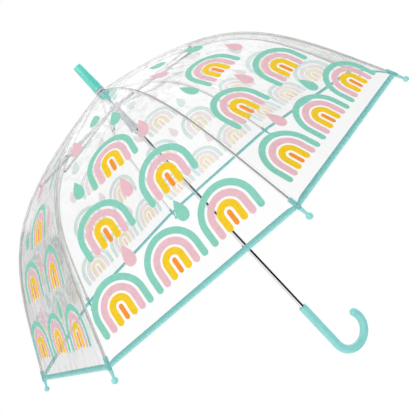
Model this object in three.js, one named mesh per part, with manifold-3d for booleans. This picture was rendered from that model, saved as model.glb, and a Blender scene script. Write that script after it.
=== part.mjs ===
// A children's dome umbrella, standing open: a clear eight-panel film canopy on steel ribs, pushed open by
// stretchers on a sliding runner, with a J-hook handle. Millimetres, +Z up along the shaft, +X the way the
// hook opens. The origin is the middle of the straight part of the handle, where a hand grips it.
import * as THREE from "three";
import { mergeVertices } from "three/addons/utils/BufferGeometryUtils.js";
import Module from "manifold-3d";

const wasm = await Module();
wasm.setup();

// Driving dimensions
const GAP = 0.3; // clearance between neighbouring pieces
const RIB_COUNT = 8;
const RIB_PHASE = THREE.MathUtils.degToRad(-8); // the hook's plane lies 8 degrees past a rib
const HALF_PANEL = Math.PI / RIB_COUNT;

// Canopy: a rib's film line, from the apex to the hem, is one cubic curve in the rib's upright plane
const RIM_RADIUS = 370;
const RIM_Z = 278;
const DOME_HEIGHT = 264.3;
const APEX_RADIUS = 5.5;
const APEX_SLOPE = THREE.MathUtils.degToRad(10.2);
const APEX_HANDLE = 254.6;
const HEM_SLOPE = THREE.MathUtils.degToRad(60.4);
const HEM_HANDLE = 192.4;
const FILM = 0.4; // film thickness, modelled thicker than the real 0.15
const CROWN_RADIUS = 11.5;
const GORE_TOP_RADIUS = 12.9;
const HEM_WIDTH = 8;
const TAPE = 0.8;

// Shaft, ferrule and handle
const SHAFT_RADIUS = 4;
const SHAFT_WALL = 0.6;
const SHAFT_IN_HANDLE = 60;
const GRIP_TOP = 48;
const GRIP_BOTTOM = -49;
const HANDLE_RADIUS = 8;
const HOOK_RADIUS = 33.5;
const HOOK_SWEEP = THREE.MathUtils.degToRad(202);
const FERRULE_LENGTH = 48.5;
const FERRULE_BASE_RADIUS = 8.6;
const FERRULE_TIP_RADIUS = 7.1;
const FERRULE_END_WALL = 12;
const WASHER_THICKNESS = 3.6;

// Ribs, their top notch and their ball tips
const RIB_RADIUS = 1.3;
const RIB_INSET = 2.2; // rib centreline under the film's middle surface
const PIVOT_FILM_RADIUS = 8.4; // film radius over the ribs' pivots
const EYE_RADIUS = 1.4;
const WIRE_RADIUS = 0.6;
const NOTCH_RADIUS = 10.5;
const NOTCH_NECK_RADIUS = 6;
const NOTCH_FLANGE = 8.6;
const NOTCH_NECK = 7;
const NOTCH_SLOT = 3.2;
const BALL_RADIUS = 4.1;
const BALL_REACH = 13.5; // from the hem to the ball's middle
const STEM_RADIUS = 2.3;

// Runner and stretchers
const HUB_Z = RIM_Z + 232; // stretcher pivots on the runner, canopy open
const HUB_RADIUS = 6.8;
const CROWN_SLOT = 2.6;
const RUNNER_RADIUS = 5.8;
const RUNNER_BORE = SHAFT_RADIUS + 0.4;
const RUNNER_BELOW_HUB = 48;
const RIVET_FILM_RADIUS = 171; // film radius over the stretchers' rivets
const RIVET_DROP = 3.6; // rivet under the rib's centreline
const CHANNEL_HALF_WIDTH = 2.3;
const CHANNEL_HALF_HEIGHT = 1.7;
const CHANNEL_WALL = 0.7;
const TONGUE = 2;
const WEB_END = 62;

// Catch springs inside the shaft, their noses toward -X
const TOP_CATCH_Z = HUB_Z - RUNNER_BELOW_HUB - 6;
const BOTTOM_CATCH_Z = RIM_Z - 79;
const CATCH_WIDTH = 1.6;
const NOSE_REACH = 1.5;

function standard(color, roughness, metalness = 0, extra = {}) {
  return new THREE.MeshStandardMaterial({ color, roughness, metalness, ...extra });
}

const steel = standard(0xb9bcc0, 0.25, 1);
const ribSteel = standard(0x85878a, 0.4, 0.9);
const mint = standard(0x8fd3cd, 0.3);
const turquoise = standard(0x6fd6c6, 0.28);
const greyPlastic = standard(0xc9ccd2, 0.4);
const film = standard(0xf2f5f6, 0.1, 0, { transparent: true, opacity: 0.25 });
const tealTape = standard(0x86c5c2, 0.45, 0, { transparent: true, opacity: 0.85 });

const part = new THREE.Group();

// --- solids -----------------------------------------------------------------------------------------------

function solidOf(geometry) {
  const bare = geometry.clone();
  bare.deleteAttribute("normal");
  bare.deleteAttribute("uv");
  const welded = mergeVertices(bare, 1e-4);
  const index = welded.index.array;
  const kept = [];
  for (let i = 0; i < index.length; i += 3) {
    const [a, b, c] = [index[i], index[i + 1], index[i + 2]];
    if (a !== b && b !== c && c !== a) kept.push(a, b, c);
  }
  return new wasm.Manifold(
    new wasm.Mesh({
      numProp: 3,
      vertProperties: new Float32Array(welded.attributes.position.array),
      triVerts: new Uint32Array(kept),
    }),
  );
}

function geometryOf(solid) {
  const { vertProperties, triVerts } = solid.getMesh();
  const geometry = new THREE.BufferGeometry();
  geometry.setAttribute("position", new THREE.BufferAttribute(new Float32Array(vertProperties), 3));
  geometry.setIndex(new THREE.BufferAttribute(new Uint32Array(triVerts), 1));
  geometry.computeVertexNormals();
  return geometry;
}

function addPiece(parent, name, solid, material) {
  const mesh = new THREE.Mesh(geometryOf(solid), material);
  mesh.name = name;
  parent.add(mesh);
}

// A body turned about Z from [radius, height] points: up the outside first, then back down the inside
function turned(points, segments = 24) {
  const profile = points.map(([radius, z]) => new THREE.Vector2(radius, z));
  if (points[0][0] > 0) profile.push(profile[0].clone());
  return solidOf(new THREE.LatheGeometry(profile, segments).rotateX(Math.PI / 2));
}

function block(x0, x1, y0, y1, z0, z1) {
  const geometry = new THREE.BoxGeometry(x1 - x0, y1 - y0, z1 - z0);
  return solidOf(geometry.translate((x0 + x1) / 2, (y0 + y1) / 2, (z0 + z1) / 2));
}

// A cylinder along Y, centred on (x, z)
function crossPin(x, z, radius, halfLength, sides = 8) {
  return solidOf(new THREE.CylinderGeometry(radius, radius, 2 * halfLength, sides).translate(x, 0, z));
}

function rodAlong(curve, radius, sides, steps) {
  const section = new THREE.Shape();
  for (let i = 0; i < sides; i += 1) {
    const angle = (2 * Math.PI * (i + 0.5)) / sides;
    section[i ? "lineTo" : "moveTo"](radius * Math.cos(angle), radius * Math.sin(angle));
  }
  const options = { steps, extrudePath: curve, bevelEnabled: false };
  return solidOf(new THREE.ExtrudeGeometry(section, options));
}

function wireRing(radius, tubeRadius, z) {
  return solidOf(new THREE.TorusGeometry(radius, tubeRadius, 5, 24).translate(0, 0, z));
}

// A closed shell between two equal grids of points, outside[row][column] and inside[row][column]
function shellBetween(outside, inside) {
  const rows = outside.length;
  const columns = outside[0].length;
  const positions = [...outside.flat(), ...inside.flat()].flatMap((p) => [p.x, p.y, p.z]);
  const out = (r, c) => r * columns + c;
  const inn = (r, c) => rows * columns + r * columns + c;
  const index = [];
  const quad = (a, b, c, d) => index.push(a, b, c, a, c, d);
  for (let r = 0; r + 1 < rows; r += 1) {
    for (let c = 0; c + 1 < columns; c += 1) {
      quad(out(r, c), out(r + 1, c), out(r + 1, c + 1), out(r, c + 1));
      quad(inn(r, c), inn(r, c + 1), inn(r + 1, c + 1), inn(r + 1, c));
    }
    quad(out(r, 0), inn(r, 0), inn(r + 1, 0), out(r + 1, 0));
    quad(out(r, columns - 1), out(r + 1, columns - 1), inn(r + 1, columns - 1), inn(r, columns - 1));
  }
  for (let c = 0; c + 1 < columns; c += 1) {
    quad(out(0, c), out(0, c + 1), inn(0, c + 1), inn(0, c));
    quad(out(rows - 1, c), inn(rows - 1, c), inn(rows - 1, c + 1), out(rows - 1, c + 1));
  }
  const geometry = new THREE.BufferGeometry();
  geometry.setAttribute("position", new THREE.Float32BufferAttribute(positions, 3));
  geometry.setIndex(index);
  return solidOf(geometry);
}

// --- the rib line -----------------------------------------------------------------------------------------

const filmLine = new THREE.CubicBezierCurve(
  new THREE.Vector2(APEX_RADIUS, RIM_Z + DOME_HEIGHT),
  new THREE.Vector2(
    APEX_RADIUS + APEX_HANDLE * Math.cos(APEX_SLOPE),
    RIM_Z + DOME_HEIGHT - APEX_HANDLE * Math.sin(APEX_SLOPE),
  ),
  new THREE.Vector2(
    RIM_RADIUS - HEM_HANDLE * Math.cos(HEM_SLOPE),
    RIM_Z + HEM_HANDLE * Math.sin(HEM_SLOPE),
  ),
  new THREE.Vector2(RIM_RADIUS, RIM_Z),
);
const FILM_LENGTH = filmLine.getLength();

// The point at a share of the film line's length, moved inward by a depth square to the line. Shares past 1
// carry straight on beyond the hem.
function underFilm(share, depth) {
  const along = Math.min(share, 1);
  const tangent = filmLine.getTangentAt(along);
  const beyond = (share - along) * FILM_LENGTH;
  const point = filmLine.getPointAt(along).addScaledVector(tangent, beyond);
  return new THREE.Vector2(point.x + depth * tangent.y, point.y - depth * tangent.x);
}

function shareAtRadius(radius) {
  let [low, high] = [0, 1];
  for (let i = 0; i < 40; i += 1) {
    const middle = (low + high) / 2;
    if (filmLine.getPointAt(middle).x < radius) low = middle;
    else high = middle;
  }
  return low;
}

class RibCurve extends THREE.Curve {
  constructor(start, end) {
    super();
    this.start = start;
    this.end = end;
  }

  getPoint(t, target = new THREE.Vector3()) {
    const at = underFilm(this.start + (this.end - this.start) * t, RIB_INSET);
    return target.set(at.x, 0, at.y);
  }
}

const PIVOT_SHARE = shareAtRadius(PIVOT_FILM_RADIUS);
const pivot = underFilm(PIVOT_SHARE, RIB_INSET);
const rivet = underFilm(shareAtRadius(RIVET_FILM_RADIUS), RIB_INSET + RIVET_DROP);

// --- shaft, handle, ferrule and notch, all fixed to each other --------------------------------------------

const FILM_TOP = RIM_Z + DOME_HEIGHT;
const WASHER_BASE = FILM_TOP + FILM / 2 + GAP;
const FERRULE_BASE = WASHER_BASE + WASHER_THICKNESS + GAP;
const FERRULE_TOP = FERRULE_BASE + FERRULE_LENGTH;
const NOTCH_TOP = FILM_TOP - 1.9;
const NOTCH_BASE = NOTCH_TOP - NOTCH_FLANGE - NOTCH_NECK;
const PIN_Z = NOTCH_BASE + NOTCH_NECK / 2;
const PIN_RADIUS = 1;

function shaftTube() {
  const top = FERRULE_TOP - FERRULE_END_WALL - GAP;
  const bottom = GRIP_TOP - SHAFT_IN_HANDLE;
  const bore = SHAFT_RADIUS - SHAFT_WALL;
  let tube = turned([[SHAFT_RADIUS, bottom], [SHAFT_RADIUS, top], [bore, top], [bore, bottom]], 20);
  tube = tube.subtract(crossPin(0, PIN_Z, PIN_RADIUS + GAP, SHAFT_RADIUS + 1));
  for (const z of [TOP_CATCH_Z, BOTTOM_CATCH_Z]) {
    const half = CATCH_WIDTH / 2 + GAP;
    tube = tube.subtract(block(-SHAFT_RADIUS - 1, 0, -half, half, z - 7, z + 5));
  }
  return tube;
}

class HandleCurve extends THREE.Curve {
  getPoint(t, target = new THREE.Vector3()) {
    const straight = GRIP_TOP - GRIP_BOTTOM;
    const distance = t * (straight + HOOK_RADIUS * HOOK_SWEEP);
    if (distance < straight) return target.set(0, 0, GRIP_TOP - distance);
    const angle = (distance - straight) / HOOK_RADIUS;
    const x = HOOK_RADIUS * (1 - Math.cos(angle));
    return target.set(x, 0, GRIP_BOTTOM - HOOK_RADIUS * Math.sin(angle));
  }
}

function handle() {
  const curve = new HandleCurve();
  const end = curve.getPoint(1);
  const roundEnd = new THREE.SphereGeometry(HANDLE_RADIUS * 0.99, 12, 8).translate(end.x, 0, end.z);
  const socket = SHAFT_RADIUS + GAP;
  const floor = GRIP_TOP - SHAFT_IN_HANDLE - GAP;
  return rodAlong(curve, HANDLE_RADIUS, 12, 30)
    .add(solidOf(roundEnd))
    .subtract(turned([[0, floor], [socket, floor], [socket, GRIP_TOP + 1], [0, GRIP_TOP + 1]], 20));
}

function ferrule() {
  const socketTop = FERRULE_TOP - FERRULE_END_WALL;
  const socket = SHAFT_RADIUS + GAP;
  return turned([
    [FERRULE_BASE_RADIUS - 0.6, FERRULE_BASE],
    [FERRULE_BASE_RADIUS, FERRULE_BASE + 0.6],
    [FERRULE_TIP_RADIUS, FERRULE_TOP - 0.8],
    [FERRULE_TIP_RADIUS - 0.8, FERRULE_TOP],
    [0, FERRULE_TOP],
    [0, socketTop],
    [socket, socketTop],
    [socket, FERRULE_BASE],
    [FERRULE_BASE_RADIUS - 0.6, FERRULE_BASE],
  ]);
}

function ring(inner, outer, bottom, top, segments = 24) {
  return turned([[outer, bottom], [outer, top], [inner, top], [inner, bottom]], segments);
}

// Radial slots cut through a hub, one in each rib's plane
function slotted(hub, width, from, to, bottom, top) {
  const slot = block(from, to, -width / 2, width / 2, bottom, top);
  let cut = hub;
  for (let i = 0; i < RIB_COUNT; i += 1) {
    const turn = THREE.MathUtils.radToDeg(RIB_PHASE + 2 * HALF_PANEL * i);
    cut = cut.subtract(slot.rotate([0, 0, turn]));
  }
  return cut;
}

function topNotch() {
  const bore = SHAFT_RADIUS + GAP;
  const flangeBase = NOTCH_TOP - NOTCH_FLANGE;
  const body = turned([
    [NOTCH_NECK_RADIUS, NOTCH_BASE],
    [NOTCH_NECK_RADIUS, flangeBase],
    [NOTCH_RADIUS, flangeBase + 0.8],
    [NOTCH_RADIUS, NOTCH_TOP],
    [bore, NOTCH_TOP],
    [bore, NOTCH_BASE],
  ]);
  const wireHalf = WIRE_RADIUS + GAP;
  const groove = ring(pivot.x - wireHalf, NOTCH_RADIUS + 1, pivot.y - wireHalf, pivot.y + wireHalf);
  const slotFloor = pivot.x - EYE_RADIUS - GAP;
  const base = flangeBase - 0.5;
  return slotted(body, NOTCH_SLOT, slotFloor, NOTCH_RADIUS + 2, base, NOTCH_TOP + 2)
    .subtract(groove)
    .subtract(crossPin(0, PIN_Z, PIN_RADIUS + GAP, NOTCH_RADIUS));
}

function canopyCrown() {
  const [bore, half] = [SHAFT_RADIUS + GAP, FILM / 2];
  const drop = FILM_TOP - filmLine.getPointAt(shareAtRadius(CROWN_RADIUS)).y;
  return turned([
    [CROWN_RADIUS, FILM_TOP - drop - half],
    [CROWN_RADIUS, FILM_TOP - drop + half],
    [bore, FILM_TOP + half],
    [bore, FILM_TOP - half],
  ]);
}

addPiece(part, "shaft_tube", shaftTube(), steel);
addPiece(part, "handle", handle(), mint);
addPiece(part, "ferrule", ferrule(), turquoise);
addPiece(
  part,
  "ferrule_washer",
  ring(SHAFT_RADIUS + GAP, FERRULE_BASE_RADIUS, WASHER_BASE, WASHER_BASE + WASHER_THICKNESS),
  greyPlastic,
);
addPiece(part, "top_notch", topNotch(), mint);
addPiece(part, "notch_wire", wireRing(pivot.x, WIRE_RADIUS, pivot.y), steel);
addPiece(part, "notch_pin", crossPin(0, PIN_Z, PIN_RADIUS, NOTCH_NECK_RADIUS - GAP), steel);
addPiece(part, "canopy_crown", canopyCrown(), film);

// --- catch springs: a leaf inside the tube with a wedge nose out of its slot ------------------------------

function catchSpring(z, noseUp) {
  const inner = SHAFT_RADIUS - SHAFT_WALL - GAP;
  const reach = SHAFT_RADIUS + NOSE_REACH;
  const outline = new THREE.Shape();
  outline.moveTo(-inner + 0.6, -24);
  outline.lineTo(-inner + 0.6, 8);
  outline.lineTo(-inner, 8);
  outline.lineTo(-inner, 4);
  outline.lineTo(-reach, noseUp);
  outline.lineTo(-reach, noseUp - 1.2);
  outline.lineTo(-inner, -6);
  outline.lineTo(-inner, -24);
  const options = { depth: CATCH_WIDTH, bevelEnabled: false };
  const leaf = new THREE.ExtrudeGeometry(outline, options).translate(0, 0, -CATCH_WIDTH / 2);
  return solidOf(leaf.rotateX(Math.PI / 2).translate(0, 0, z));
}

addPiece(part, "top_catch_spring", catchSpring(TOP_CATCH_Z, 4), steel);
addPiece(part, "bottom_catch_spring", catchSpring(BOTTOM_CATCH_Z, 2), steel);

// --- runner -----------------------------------------------------------------------------------------------

function runner() {
  const crown = HUB_RADIUS + 1.8;
  const bottom = HUB_Z - RUNNER_BELOW_HUB;
  const body = turned([
    [8.8, bottom],
    [8.8, bottom + 1.5],
    [6.8, bottom + 9],
    [RUNNER_RADIUS, bottom + 15],
    [RUNNER_RADIUS, HUB_Z - 6],
    [crown, HUB_Z - 4.5],
    [crown, HUB_Z + 4.5],
    [RUNNER_RADIUS + 0.6, HUB_Z + 5.5],
    [RUNNER_BORE, HUB_Z + 5.5],
    [RUNNER_BORE, bottom + 6],
    [7.2, bottom + 4],
    [7.6, bottom],
  ]);
  const wireHalf = 0.5 + GAP;
  const groove = ring(HUB_RADIUS - wireHalf, crown + 1, HUB_Z - wireHalf, HUB_Z + wireHalf);
  return slotted(body, CROWN_SLOT, HUB_RADIUS - 1.6, crown + 2, HUB_Z - 2.2, HUB_Z + 8).subtract(groove);
}

addPiece(part, "runner", runner(), greyPlastic);
addPiece(part, "runner_wire", wireRing(HUB_RADIUS, 0.5, HUB_Z), steel);

// --- one rib with everything that it carries, in its own upright plane ------------------------------------

function rib() {
  const end = 1 + 9 / FILM_LENGTH;
  const lug = block(rivet.x - 2, rivet.x + 2, -1, 1, rivet.y - 1.9, rivet.y + RIVET_DROP);
  return rodAlong(new RibCurve(PIVOT_SHARE, end), RIB_RADIUS, 6, 15)
    .add(crossPin(pivot.x, pivot.y, EYE_RADIUS, 1.1))
    .add(lug)
    .subtract(crossPin(pivot.x, pivot.y, WIRE_RADIUS + GAP, 3))
    .subtract(crossPin(rivet.x, rivet.y, 1.1, 3));
}

function ribTip() {
  const start = underFilm(1 + 0.6 / FILM_LENGTH, RIB_INSET);
  const ball = underFilm(1 + BALL_REACH / FILM_LENGTH, RIB_INSET);
  const neck = BALL_REACH - 0.6 - Math.sqrt(BALL_RADIUS ** 2 - 1.7 ** 2);
  const outline = [[0, 10], [RIB_RADIUS + GAP, 10], [RIB_RADIUS + GAP, 0], [STEM_RADIUS, 0]];
  outline.push([STEM_RADIUS, 4], [1.7, neck]);
  const middle = BALL_REACH - 0.6;
  const first = Math.atan2(neck - middle, 1.7);
  for (let i = 1; i <= 5; i += 1) {
    const angle = first + ((Math.PI / 2 - first) * i) / 5;
    const radius = i < 5 ? BALL_RADIUS * Math.cos(angle) : 0;
    outline.push([radius, middle + BALL_RADIUS * Math.sin(angle)]);
  }
  const along = new THREE.Vector3(ball.x - start.x, 0, ball.y - start.y).normalize();
  const turn = new THREE.Quaternion().setFromUnitVectors(new THREE.Vector3(0, 1, 0), along);
  const profile = outline.map(([radius, height]) => new THREE.Vector2(radius, height));
  const lathe = new THREE.LatheGeometry(profile, 8).applyQuaternion(turn);
  return solidOf(lathe.translate(start.x, 0, start.y));
}

// A strip of canopy centred on the rib, creased along it and flat out to the middle of each panel
function canopyStrip(fromShare, toShare, thickness, rows) {
  const grid = (depth) => {
    const lines = [];
    for (let i = 0; i <= rows; i += 1) {
      const at = underFilm(fromShare + ((toShare - fromShare) * i) / rows, depth);
      const half = at.x * Math.cos(HALF_PANEL) * Math.sin(HALF_PANEL) - GAP / 2;
      const edge = at.x - half * Math.tan(HALF_PANEL);
      lines.push([
        new THREE.Vector3(edge, -half, at.y),
        new THREE.Vector3(at.x, 0, at.y),
        new THREE.Vector3(edge, half, at.y),
      ]);
    }
    return lines;
  };
  return shellBetween(grid(-thickness / 2), grid(thickness / 2));
}

function stretcher(length) {
  const [w, h] = [CHANNEL_HALF_WIDTH, CHANNEL_HALF_HEIGHT];
  const side = new THREE.Shape();
  side.moveTo(9, -h);
  side.lineTo(length, -h);
  side.absarc(length, 0, h, -Math.PI / 2, Math.PI / 2, false);
  side.lineTo(10, h);
  const options = { depth: CHANNEL_WALL, bevelEnabled: false, curveSegments: 4 };
  const flange = solidOf(new THREE.ExtrudeGeometry(side, options).rotateX(Math.PI / 2));
  const eye = EYE_RADIUS - 0.1;
  return flange
    .translate([0, w, 0])
    .add(flange.translate([0, CHANNEL_WALL - w, 0]))
    .add(block(9, WEB_END, -w, w, -h, CHANNEL_WALL - h))
    .add(block(0, 12, -TONGUE / 2, TONGUE / 2, -eye, eye))
    .add(crossPin(0, 0, eye, TONGUE / 2))
    .add(block(9, 12, -w, w, -h, h))
    .subtract(crossPin(0, 0, 0.8, TONGUE))
    .subtract(crossPin(length, 0, 1.1, 2 * w));
}

function rivetPin() {
  const shank = CHANNEL_HALF_WIDTH + GAP;
  const outline = [[0, -shank - 0.6], [1.5, -shank - 0.6], [1.5, -shank], [0.8, -shank]];
  outline.push([0.8, shank], [1.5, shank], [1.5, shank + 0.6], [0, shank + 0.6]);
  const profile = outline.map(([radius, height]) => new THREE.Vector2(radius, height));
  return solidOf(new THREE.LatheGeometry(profile, 8).translate(rivet.x, 0, rivet.y));
}

const stretcherLine = new THREE.Vector2(rivet.x - HUB_RADIUS, rivet.y - HUB_Z);
const tapeStart = 1 - HEM_WIDTH / FILM_LENGTH;
const filmEnd = tapeStart - GAP / FILM_LENGTH;
const pieces = {
  rib: [rib(), ribSteel],
  rib_tip: [ribTip(), mint],
  canopy_gore: [canopyStrip(shareAtRadius(GORE_TOP_RADIUS), filmEnd, FILM, 14), film],
  hem_tape: [canopyStrip(tapeStart, 1, TAPE, 1), tealTape],
  stretcher_rivet: [rivetPin(), ribSteel],
};

for (let i = 0; i < RIB_COUNT; i += 1) {
  const side = new THREE.Group();
  side.rotation.z = RIB_PHASE + 2 * HALF_PANEL * i;
  for (const [name, [solid, material]] of Object.entries(pieces)) {
    addPiece(side, `${name}_${i + 1}`, solid, material);
  }
  const arm = new THREE.Group();
  arm.position.set(HUB_RADIUS, 0, HUB_Z);
  arm.rotation.y = -stretcherLine.angle();
  addPiece(arm, `stretcher_${i + 1}`, stretcher(stretcherLine.length()), greyPlastic);
  side.add(arm);
  part.add(side);
}

export default part;
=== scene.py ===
"""Looks for a child's clear dome umbrella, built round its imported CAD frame. Metres, +Z up the shaft."""

import math

import bmesh
import bpy
import numpy as np
from mathutils import Matrix, Vector


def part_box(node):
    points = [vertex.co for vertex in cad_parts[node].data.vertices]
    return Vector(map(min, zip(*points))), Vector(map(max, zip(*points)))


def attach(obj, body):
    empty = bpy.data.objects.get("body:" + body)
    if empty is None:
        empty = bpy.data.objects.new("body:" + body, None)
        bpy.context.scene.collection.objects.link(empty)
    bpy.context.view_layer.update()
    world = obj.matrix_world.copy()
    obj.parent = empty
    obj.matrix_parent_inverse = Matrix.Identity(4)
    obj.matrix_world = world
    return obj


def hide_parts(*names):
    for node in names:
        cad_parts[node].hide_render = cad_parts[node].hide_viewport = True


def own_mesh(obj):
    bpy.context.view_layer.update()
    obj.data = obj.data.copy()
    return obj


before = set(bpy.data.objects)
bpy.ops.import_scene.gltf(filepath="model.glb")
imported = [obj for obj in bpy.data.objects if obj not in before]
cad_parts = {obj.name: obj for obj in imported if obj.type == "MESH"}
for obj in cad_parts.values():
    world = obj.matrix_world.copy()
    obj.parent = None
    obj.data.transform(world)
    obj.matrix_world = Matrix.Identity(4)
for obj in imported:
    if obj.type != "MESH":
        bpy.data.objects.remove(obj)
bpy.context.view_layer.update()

MM = 0.001
scene = bpy.context.scene

# The canopy's rib line: one cubic curve from the apex to the hem, in (radius, height), as in the CAD
RIM_RADIUS, RIM_Z, DOME_HEIGHT, APEX_RADIUS = 370 * MM, 278 * MM, 264.3 * MM, 5.5 * MM
APEX_SLOPE, APEX_HANDLE = math.radians(10.2), 254.6 * MM
HEM_SLOPE, HEM_HANDLE = math.radians(60.4), 192.4 * MM
RIBS, FIRST_AZIMUTH, RIB_STEP = 8, -8.0, 45
HALF_PANEL = math.pi / RIBS
HEM_WIDTH = 7 * MM
GORE_TOP_RADIUS = 12.9 * MM
RIB_INSET = 2.2 * MM

SAG = 5 * MM  # how far the film's middle lies inside the straight line between two ribs
BANDS = 9
ROWS_PER_BAND = 6
HALF_COLUMNS = 7

# --- the canopy's surface ---------------------------------------------------------------------------------


def rib_line():
    """Share of the length, radius, height and the unit direction towards the hem, at close steps."""
    t = np.linspace(0, 1, 3001)[:, None]
    p0 = np.array([APEX_RADIUS, RIM_Z + DOME_HEIGHT])
    p3 = np.array([RIM_RADIUS, RIM_Z])
    p1 = p0 + APEX_HANDLE * np.array([math.cos(APEX_SLOPE), -math.sin(APEX_SLOPE)])
    p2 = p3 + HEM_HANDLE * np.array([-math.cos(HEM_SLOPE), math.sin(HEM_SLOPE)])
    line = (1 - t) ** 3 * p0 + 3 * t * (1 - t) ** 2 * p1 + 3 * t * t * (1 - t) * p2 + t**3 * p3
    step = np.diff(line, axis=0)
    along = np.r_[0, np.cumsum(np.hypot(*step.T))]
    middle = np.r_[0, np.cumsum(np.hypot(math.cos(HALF_PANEL) * step[:, 0], step[:, 1]))]
    direction = np.gradient(line, along, axis=0)
    return along / along[-1], line, direction, along[-1], middle[-1] - middle


SHARES, LINE, DIRECTION, RIB_LENGTH, ABOVE_HEM = rib_line()


def share_at_radius(radius):
    return float(np.interp(radius, LINE[:, 0], SHARES))


def share_at_height(h):
    """The share of the rib line at h above the hem, measured up a panel's middle."""
    return np.interp(-np.asarray(h, float), -ABOVE_HEM, SHARES)


def height_at_share(share):
    return float(np.interp(share, SHARES, ABOVE_HEM))


def line_at(share):
    share = np.clip(share, 0, 1)
    return [np.interp(share, SHARES, a) for a in (LINE[:, 0], LINE[:, 1], DIRECTION[:, 0], DIRECTION[:, 1])]


def azimuth(rib):
    return math.radians(FIRST_AZIMUTH + RIB_STEP * (rib - 1))


def on_panel(panel, across, share, out=0.0):
    """Points of the panel between rib `panel` and the next. across goes from -1 at the first rib to 1 at the
    next; out is the distance outside the film."""
    x, z, dx, dz = line_at(share)
    c, s = math.cos(HALF_PANEL), math.sin(HALF_PANEL)
    size = np.hypot(c * dx, dz)
    normal_r, normal_z = -dz / size, c * dx / size
    sag = SAG * (1 - across**2) * 4 * share * (1 - share)
    radius = x * c + (out - sag) * normal_r
    height = z + (out - sag) * normal_z
    side = across * x * s
    a = azimuth(panel) + HALF_PANEL
    return np.stack(
        [radius * math.cos(a) - side * math.sin(a), radius * math.sin(a) + side * math.cos(a), height], -1
    )


def on_rib(rib, share, out=0.0, beyond=0.0):
    """Points over a rib's centre, out from the film, and beyond the hem along the rib."""
    x, z, dx, dz = line_at(share)
    radius = x - out * dz + beyond * dx
    height = z + out * dx + beyond * dz
    a = azimuth(rib)
    return np.stack([radius * math.cos(a), radius * math.sin(a), height], -1)


def panel_normal(panel, across, share):
    e = 1e-4
    low, high = np.clip(share - e, 0, 1), np.clip(share + e, 0, 1)
    down = on_panel(panel, across, high) - on_panel(panel, across, low)
    side = on_panel(panel, across + e, share) - on_panel(panel, across - e, share)
    n = np.cross(down, side)
    return n / np.linalg.norm(n, axis=-1, keepdims=True)


# --- mesh helpers -----------------------------------------------------------------------------------------


def new_mesh(name, points, faces, materials, smooth=True, indices=None):
    mesh = bpy.data.meshes.new(name)
    mesh.from_pydata([tuple(map(float, p)) for p in points], [], faces)
    for m in materials if isinstance(materials, (list, tuple)) else [materials]:
        mesh.materials.append(m)
    mesh.polygons.foreach_set("use_smooth", [smooth] * len(mesh.polygons))
    if indices is not None:
        mesh.polygons.foreach_set("material_index", indices)
    mesh.update()
    obj = bpy.data.objects.new(name, mesh)
    scene.collection.objects.link(obj)
    return obj


def grid_faces(rows, columns, start=0):
    return [
        (start + r * columns + c, start + (r + 1) * columns + c,
         start + (r + 1) * columns + c + 1, start + r * columns + c + 1)
        for r in range(rows - 1)
        for c in range(columns - 1)
    ]


def ringed(name, rings, segments, material, sharp=40):
    """A closed body from rings, each (centre, first axis, second axis, radius). A radius of 0 is a point."""
    points, faces, last = [], [], None
    for centre, a, b, radius in rings:
        centre, a, b = Vector(centre), Vector(a), Vector(b)
        if radius == 0:
            ring = [len(points)] * segments
            points.append(centre)
        else:
            ring = list(range(len(points), len(points) + segments))
            for i in range(segments):
                t = 2 * math.pi * i / segments
                points.append(centre + radius * (math.cos(t) * a + math.sin(t) * b))
        if last is not None:
            for i in range(segments):
                j = (i + 1) % segments
                face = [last[i], last[j], ring[j], ring[i]]
                face = [v for n, v in enumerate(face) if v not in face[:n]]
                if len(face) > 2:
                    faces.append(face)
        last = ring
    obj = new_mesh(name, points, faces, material)
    out = bmesh.new()
    out.from_mesh(obj.data)
    bmesh.ops.recalc_face_normals(out, faces=out.faces)
    out.to_mesh(obj.data)
    out.free()
    obj.data.set_sharp_from_angle(angle=math.radians(sharp))
    return obj


def lathe(name, profile, material, segments=48, origin=(0, 0, 0), along=(0, 0, 1), sharp=40):
    """A turned body from (radius, distance along the axis) points, closed where the radius is 0."""
    along = Vector(along).normalized()
    a = along.orthogonal().normalized()
    b = along.cross(a)
    return ringed(
        name, [(Vector(origin) + d * along, a, b, r) for r, d in profile], segments, material, sharp
    )


# --- materials --------------------------------------------------------------------------------------------


def srgb(*levels):
    """A linear colour from sRGB levels up to 255."""
    shares = [level / 255 for level in levels]
    return tuple(v / 12.92 if v <= 0.04 else ((v + 0.055) / 1.055) ** 2.4 for v in shares) + (1,)


def tinted(colour, by):
    return tuple(min(1.0, c * by) for c in colour[:3]) + (1,)


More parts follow.
